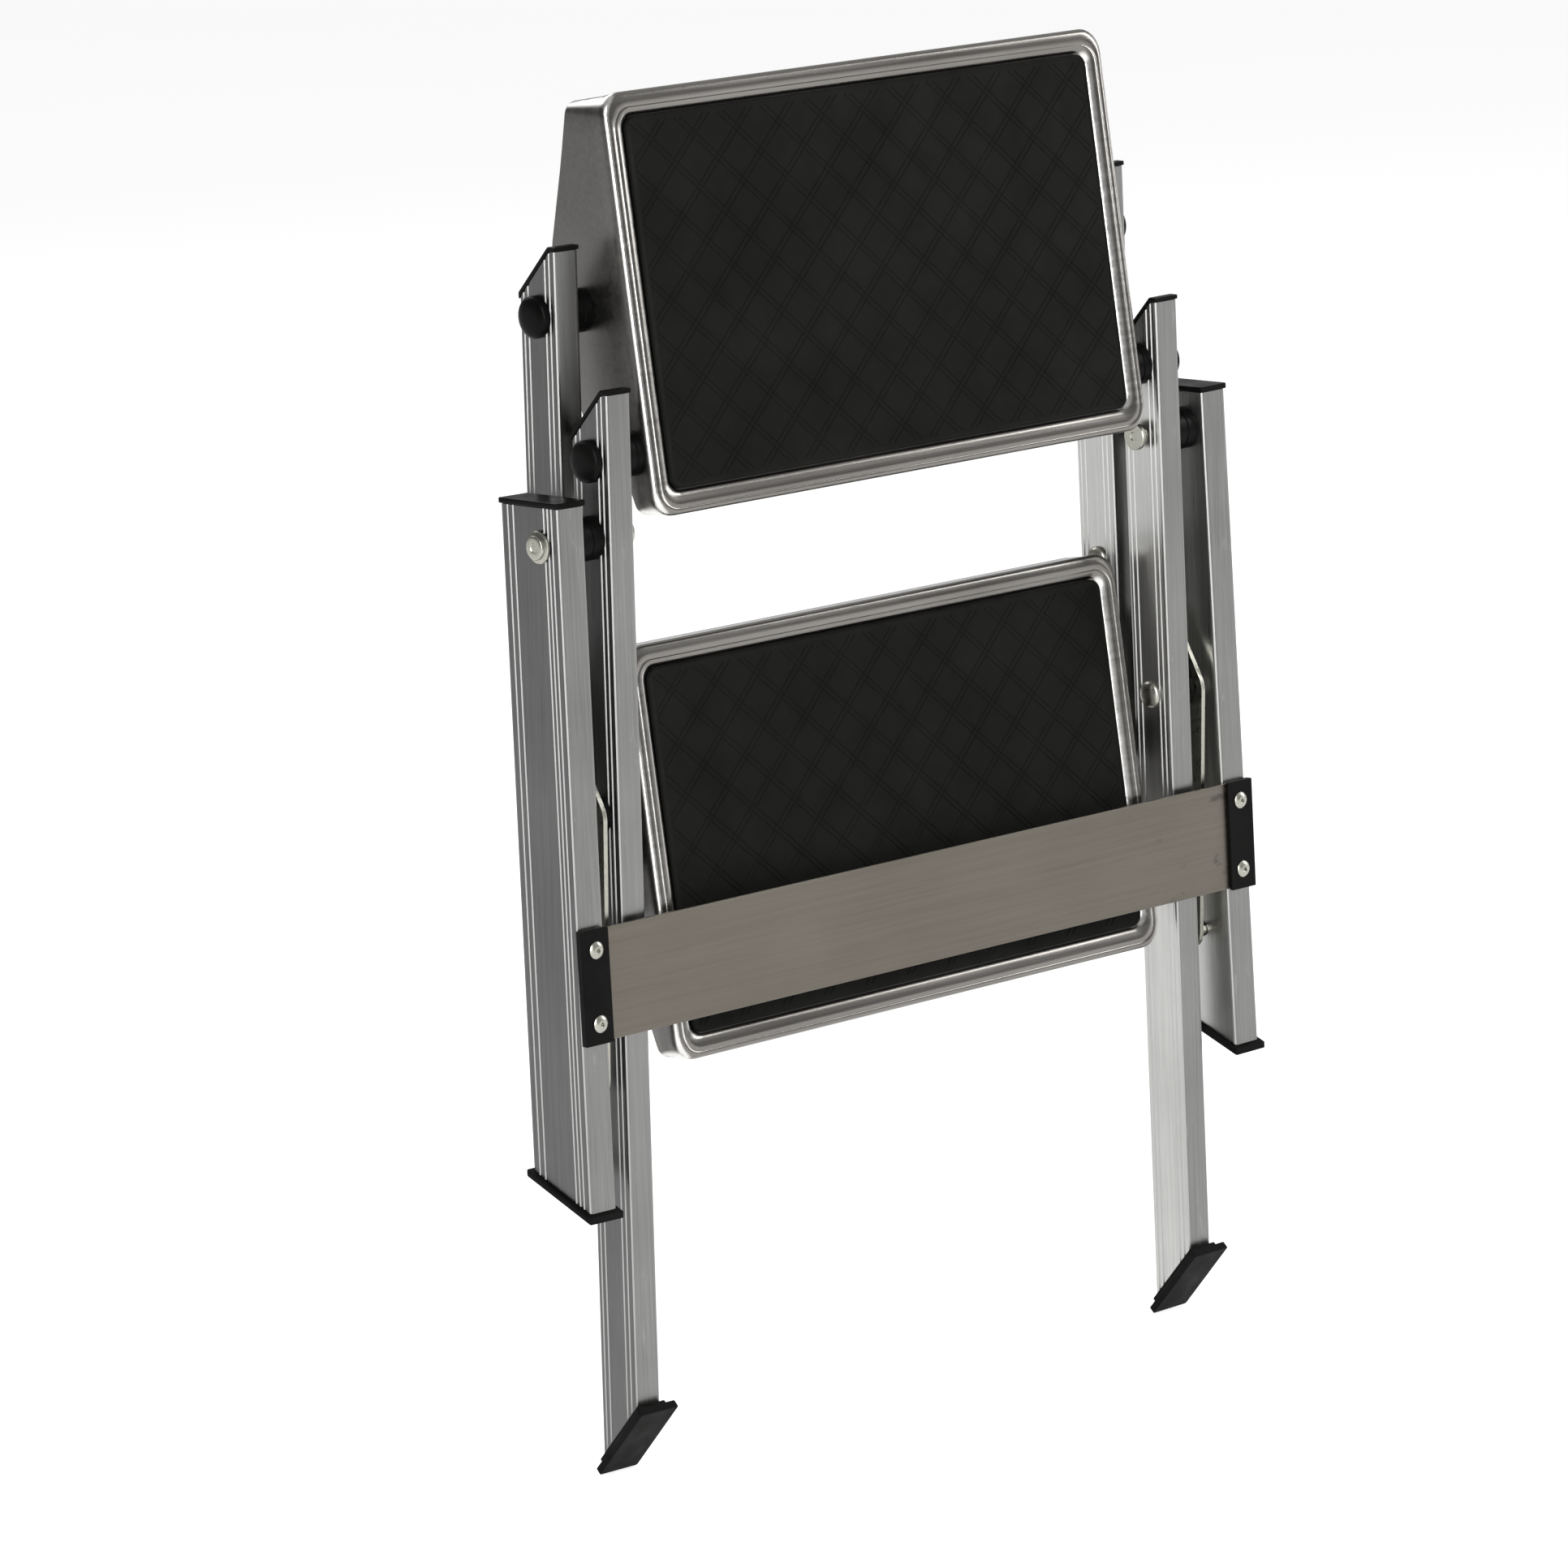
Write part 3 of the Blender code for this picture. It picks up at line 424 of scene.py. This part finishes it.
def build_mat(which):
    place = tread_frame(which)
    hx, v0, v1 = TREAD_HALF - MAT_INSET, MAT_INSET, TREAD_LEN - MAT_INSET
    base, top = -0.00045, -0.00012
    rings = [
        (hx - 0.0030, v0 + 0.0030, v1 - 0.0030, 0.0060, base),
        (hx - 0.0024, v0 + 0.0024, v1 - 0.0024, 0.0064, base),
        (hx - 0.0020, v0 + 0.0020, v1 - 0.0020, 0.0066, top - 0.0001),
        (hx - 0.0008, v0 + 0.0008, v1 - 0.0008, 0.0072, top - 0.0001),
        (hx - 0.0002, v0 + 0.0002, v1 - 0.0002, 0.0075, top - 0.0006),
        (hx, v0, v1, 0.0076, top - 0.0012),
        (hx, v0, v1, 0.0076, MAT_SEAT),
    ]
    verts, faces = stack(rings, place)
    rib_verts, rib_faces = mat_ribs(hx, v0, v1, base - 0.0002, top)
    shift = len(verts)
    verts += [place @ v for v in rib_verts]
    faces += [tuple(i + shift for i in face) for face in rib_faces]
    new_piece(which + "_mat_face", verts, faces, "mat", which + "_tread_unit",
              [which + "_mat"], 30)


# ---------------------------------------------------------------- pins, bushes and rivets
def span(node, side):
    """A node's inner and outer distance from the middle, its centre's y and z, its radius."""
    low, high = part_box(node)
    inner, outer = (low[0], high[0]) if side > 0 else (-high[0], -low[0])
    return inner, outer, (low[1] + high[1]) / 2, (low[2] + high[2]) / 2, (high[2] - low[2]) / 2


def build_knob(node, side, body):
    """Black domed knob on a steel pin with a flat inner head."""
    inner, outer, y, z, radius = span(node, side)
    seat = outer - 0.0068
    knob = [(0.0, outer), (radius * 0.35, outer - 0.00008), (radius * 0.62, outer - 0.0004),
            (radius * 0.80, outer - 0.0010), (radius * 0.92, outer - 0.0019),
            (radius * 0.98, outer - 0.0029), (radius, outer - 0.0042), (radius, seat + 0.0013),
            (radius - 0.0006, seat + 0.0009), (radius - 0.0006, seat + 0.0006),
            (radius - 0.0001, seat + 0.0003), (radius - 0.0006, seat), (0.0040, seat)]
    shank = [(0.0040, inner + 0.0052), (0.0066, inner + 0.0052), (0.0070, inner + 0.0048),
             (0.0070, inner + 0.0008), (0.0064, inner), (0.0, inner)]
    verts, faces = lathe(knob + shank, outward(side, y, z))
    new_piece(node + "_knob", verts, faces, "black", body, [node])


def build_bush(node, side, body):
    """Spacer bush with chamfered ends and a shallow waist."""
    inner, outer, y, z, radius = span(node, side)
    length = outer - inner
    edge = min(0.0008, length * 0.2)
    middle = (inner + outer) / 2
    profile = [(0.0045, outer), (radius - edge, outer), (radius, outer - edge),
               (radius, middle + 0.0009), (radius - 0.0007, middle + 0.0004),
               (radius - 0.0007, middle - 0.0004), (radius, middle - 0.0009),
               (radius, inner + edge), (radius - edge, inner), (0.0045, inner), (0.0045, outer)]
    verts, faces = lathe(profile, outward(side, y, z))
    new_piece(node + "_ring", verts, faces, "black", body, [node])


def build_outer_pin(side, label):
    """Stepped head outside the outer leg and a flat disc inside the inner leg."""
    node = "outer_pin_" + label
    inner, outer, y, z, radius = span(node, side)
    seat = outer - 0.0050
    profile = [(0.0, outer - 0.0008), (0.0028, outer - 0.0008), (0.0033, outer - 0.0002),
               (0.0062, outer), (0.0070, outer - 0.0003), (0.0074, outer - 0.0009),
               (0.0074, seat + 0.0028), (0.0090, seat + 0.0025), (radius, seat + 0.0017),
               (radius, seat + 0.0003), (radius - 0.0003, seat), (0.0050, seat),
               (0.0050, inner + 0.0062), (0.0066, inner + 0.0060), (0.0066, inner + 0.0050),
               (0.0050, inner + 0.0046), (0.0050, inner + 0.0030), (0.0083, inner + 0.0030),
               (0.0088, inner + 0.0025), (0.0088, inner + 0.0006), (0.0082, inner),
               (0.0030, inner), (0.0024, inner + 0.0005), (0.0, inner + 0.0005)]
    verts, faces = lathe(profile, outward(side, y, z))
    new_piece(node + "_stud", verts, faces, "zinc", "inner_frame", [node])


def build_link_pin(node, side, body):
    """Rivet with a low domed head inside the leg and a flat head on the link."""
    inner, outer, y, z, radius = span(node, side)
    seat = inner + 0.0040
    profile = [(0.0, outer), (0.0060, outer), (0.0068, outer - 0.0003), (0.0072, outer - 0.0009),
               (0.0072, outer - 0.0018), (0.0040, outer - 0.0018), (0.0040, seat),
               (radius - 0.0003, seat), (radius, seat - 0.0004), (radius, seat - 0.0012),
               (radius * 0.93, seat - 0.0022), (radius * 0.78, seat - 0.0031),
               (radius * 0.55, seat - 0.0037), (radius * 0.28, inner + 0.00005), (0.0, inner)]
    verts, faces = lathe(profile, outward(side, y, z))
    new_piece(node + "_rivet", verts, faces, "zinc", body, [node])


def build_bar_rivet(node):
    """Domed blind rivet with the mandrel's hole in its middle."""
    low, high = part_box(node)
    x, z, radius = (low[0] + high[0]) / 2, (low[2] + high[2]) / 2, (high[0] - low[0]) / 2
    seat = low[1] + 0.00195
    profile = [(0.0, 0.0002), (0.0011, 0.0002), (0.0013, 0.0016), (0.0019, 0.0019),
               (0.0027, 0.00178), (0.0036, 0.00150), (0.0044, 0.00105), (radius - 0.0003, 0.0006),
               (radius, 0.0003), (radius - 0.0001, 0.0), (0.0023, 0.0), (0.0023, -0.0070),
               (0.0, -0.0070)]
    place = (Matrix.Translation((x, seat, z)) @ Matrix.Rotation(-LEAN, 4, "X")
             @ Matrix.Rotation(math.pi / 2, 4, "X"))
    verts, faces = lathe(profile, place, 32)
    new_piece(node + "_head", verts, faces, "zinc", "outer_legs", [node])


def build_pivots():
    for label, side in SIDES.items():
        for which in ("upper", "lower"):
            build_knob(f"{which}_front_pin_{label}", side, "inner_frame")
            build_knob(f"{which}_rear_pin_{label}", side, "rear_rails")
            for end in ("front", "rear"):
                build_bush(f"{which}_{end}_bush_{label}", side, which + "_tread_unit")
        build_bush("outer_bush_" + label, side, "inner_frame")
        build_bush("link_front_bush_" + label, side, "inner_frame")
        build_bush("link_rear_bush_" + label, side, "rear_rails")
        build_outer_pin(side, label)
        build_link_pin("link_front_pin_" + label, side, "inner_frame")
        build_link_pin("link_rear_pin_" + label, side, "rear_rails")
        for level in ("upper", "lower"):
            build_bar_rivet(f"bar_rivet_{level}_{label}")


# ---------------------------------------------------------------- carried-over CAD nodes
def finish_nodes():
    looks = {"inner_leg": "rail", "rear_rail": "rail", "outer_leg": "rail", "inner_cap": "black",
             "rear_cap": "black", "rear_plug": "black", "outer_top_cap": "black",
             "bar_bracket": "black", "inner_foot": "rubber", "outer_foot": "rubber",
             "fold_link": "zinc", "crossbar": "bar"}
    soften = {"inner_cap": 0.0008, "rear_cap": 0.0008, "outer_top_cap": 0.0010,
              "outer_foot": 0.0010, "inner_foot": 0.0012, "bar_bracket": 0.0006,
              "fold_link": 0.0004, "crossbar": 0.0004, "rear_plug": 0.0006}
    for name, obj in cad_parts.items():
        for stem, look in looks.items():
            if not name.startswith(stem):
                continue
            for slot in obj.material_slots:
                slot.material = MATS[look]
            if stem in soften:
                weld = obj.modifiers.new("weld", "WELD")
                weld.merge_threshold = 1e-5
                bevel = obj.modifiers.new("soften", "BEVEL")
                bevel.width = soften[stem]
                bevel.segments = 3
                bevel.limit_method = "ANGLE"
                bevel.angle_limit = math.radians(28)
                bevel.use_clamp_overlap = True
                bevel.harden_normals = False


# ---------------------------------------------------------------- camera, light and floor
def build_camera():
    yaw, pitch, roll = CAMERA_YAW, CAMERA_PITCH, CAMERA_ROLL
    ahead = Vector((math.sin(yaw) * math.cos(pitch), math.cos(yaw) * math.cos(pitch),
                    math.sin(pitch)))
    level = Vector((math.cos(yaw), -math.sin(yaw), 0.0))
    above = level.cross(ahead)
    right = level * math.cos(roll) + above * math.sin(roll)
    up = above * math.cos(roll) - level * math.sin(roll)
    data = bpy.data.cameras.new("camera")
    data.sensor_width = CAMERA_SENSOR
    data.lens = CAMERA_LENS
    data.clip_start, data.clip_end = 0.1, 200.0
    camera = bpy.data.objects.new("camera", data)
    bpy.context.scene.collection.objects.link(camera)
    turn = Matrix((right, up, -ahead)).transposed().to_4x4()
    camera.matrix_world = Matrix.Translation(CAMERA_PLACE) @ turn
    bpy.context.scene.camera = camera


def area_light(name, place, aim, size, power):
    data = bpy.data.lights.new(name, "AREA")
    data.shape = "RECTANGLE"
    data.size, data.size_y = size
    data.energy = power
    light = bpy.data.objects.new(name, data)
    bpy.context.scene.collection.objects.link(light)
    light.location = place
    light.rotation_mode = "QUATERNION"
    light.rotation_quaternion = (Vector(aim) - Vector(place)).to_track_quat("-Z", "Y")


def build_world():
    """Soft sky, paler upwards and darker to the left."""
    world = bpy.data.worlds.new("studio")
    bpy.context.scene.world = world
    world.use_nodes = True
    tree = world.node_tree
    shade = tree.nodes["Background"]
    place = tree.nodes.new("ShaderNodeTexCoord")
    split = tree.nodes.new("ShaderNodeSeparateXYZ")
    ramp = tree.nodes.new("ShaderNodeValToRGB")
    across = tree.nodes.new("ShaderNodeMapRange")
    total = tree.nodes.new("ShaderNodeMath")
    tree.links.new(place.outputs["Generated"], split.inputs["Vector"])
    tree.links.new(split.outputs["Z"], ramp.inputs["Fac"])
    tree.links.new(split.outputs["X"], across.inputs["Value"])
    across.inputs["From Min"].default_value = -0.7
    across.inputs["From Max"].default_value = 0.7
    across.inputs["To Min"].default_value = WORLD_LEFT
    across.inputs["To Max"].default_value = WORLD_RIGHT
    total.operation = "MULTIPLY"
    tree.links.new(ramp.outputs["Color"], total.inputs[0])
    tree.links.new(across.outputs["Result"], total.inputs[1])
    tree.links.new(total.outputs["Value"], shade.inputs["Color"])
    ramp.color_ramp.elements[0].color = (WORLD_LOW, WORLD_LOW, WORLD_LOW, 1.0)
    ramp.color_ramp.elements[1].color = (WORLD_HIGH, WORLD_HIGH, WORLD_HIGH, 1.0)
    shade.inputs["Strength"].default_value = WORLD_STRENGTH


def build_studio():
    build_world()
    area_light("key", (-3.0, -2.8, 3.4), (0, 0, 0.4), (0.9, 1.6), 120)
    area_light("side", (3.4, -1.8, 2.0), (0, 0, 0.4), (0.8, 2.4), 70)
    area_light("back", (0.4, 3.2, 3.0), (0, 0, 0.4), (3.0, 1.6), 50)
    area_light("edge", (-3.7, -4.1, 1.6), (0, 0, 0.45), (1.3, 1.8), 150)

    mesh = bpy.data.meshes.new("floor")
    reach = FLOOR_REACH
    mesh.from_pydata([(-reach, -reach, 0), (reach, -reach, 0), (reach, reach, 0),
                      (-reach, reach, 0)], [], [(0, 1, 2, 3)])
    floor = bpy.data.objects.new("floor", mesh)
    bpy.context.scene.collection.objects.link(floor)
    floor.location.z = -FLOOR_DROP
    look = Nodes("floor_paper", (0.90, 0.90, 0.90), 0.95, 0.0)
    grain = look.noise(3.0, (1, 1, 1), 2.0)
    look.colour(look.blend(grain, (0.705, 0.705, 0.705), (0.695, 0.695, 0.695)))
    look.shader.inputs["Emission Color"].default_value = (1.0, 1.0, 1.0, 1.0)
    look.shader.inputs["Emission Strength"].default_value = FLOOR_GLOW
    mesh.materials.append(look.mat)
    bpy.context.scene.view_settings.view_transform = "Standard"


build_camera()
build_studio()
for tread in ("upper", "lower"):
    build_pan(tread)
    build_mat(tread)
build_pivots()
finish_nodes()
